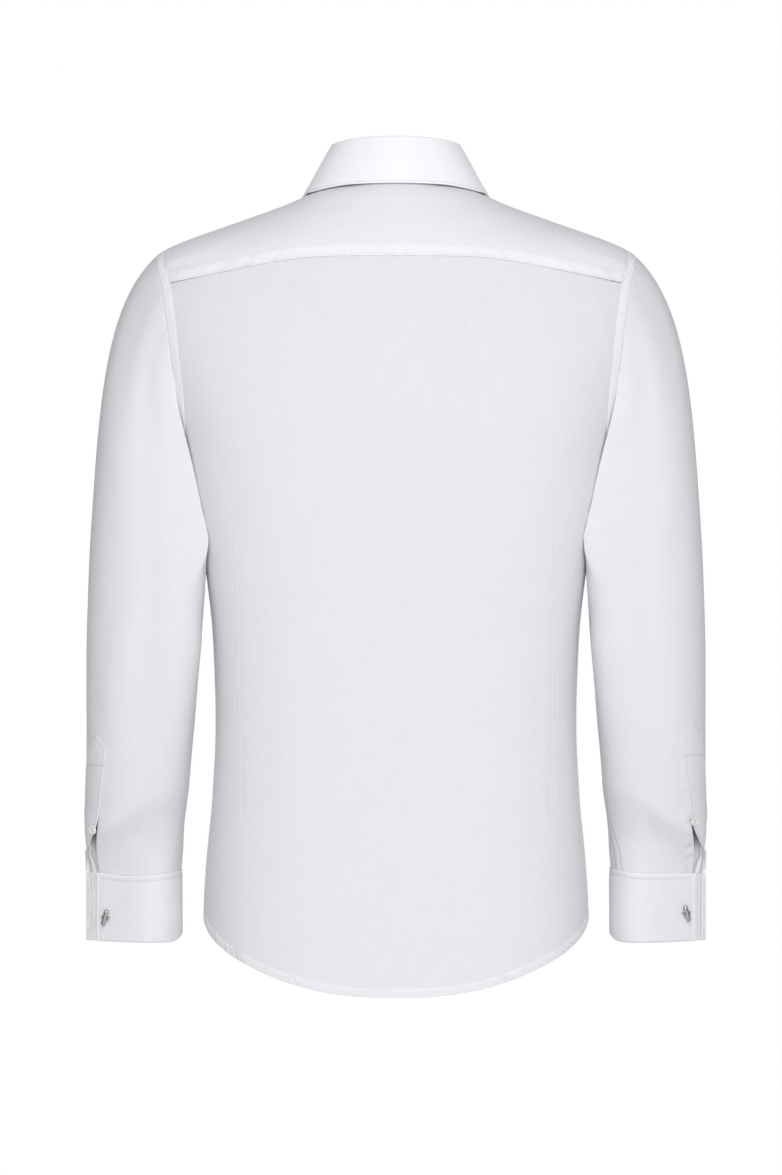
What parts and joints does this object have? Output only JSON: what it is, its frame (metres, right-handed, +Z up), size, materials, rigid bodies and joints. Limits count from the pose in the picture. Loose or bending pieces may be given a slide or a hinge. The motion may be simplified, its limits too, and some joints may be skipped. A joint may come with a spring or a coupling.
{
  "type": "long sleeve dress shirt",
  "caption": "Collared button-front dress shirt with long sleeves, a back yoke, a curved hem and double cuffs closed by cufflinks, held filled out as if worn.",
  "frame": {"origin": "middle of the neck opening, at the height where the shoulder lines meet the collar; the wearer's neck and shoulders hold it there", "axes": "+Z up, out of the neck opening; -Y is the shirt's front; +X is the wearer's left"},
  "size_m": [0.5949, 0.2391, 0.8014],
  "materials": {
    "cotton": "matte white cotton poplin",
    "cotton_double": "matte white cotton poplin, two layers",
    "button": "glossy off-white shirt button",
    "metal": "polished silver-coloured metal"
  },
  "bodies": {
    "root": {"back": "cotton", "collar_button": "button", "collar_fall": "cotton_double", "collar_stand": "cotton_double", "cuff_left": "cotton_double", "cuff_right": "cotton_double", "cufflink_left_bar": "metal", "cufflink_left_face": "metal", "cufflink_left_post": "metal", "cufflink_right_bar": "metal", "cufflink_right_face": "metal", "cufflink_right_post": "metal", "front_button_1": "button", "front_button_2": "button", "front_button_3": "button", "front_button_4": "button", "front_button_5": "button", "front_button_6": "button", "front_button_7": "button", "front_left": "cotton", "front_right": "cotton", "gauntlet_left": "cotton_double", "gauntlet_right": "cotton_double", "sleeve_button_left": "button", "sleeve_button_right": "button", "sleeve_left": "cotton", "sleeve_right": "cotton", "yoke": "cotton_double"}
  },
  "joints": []
}
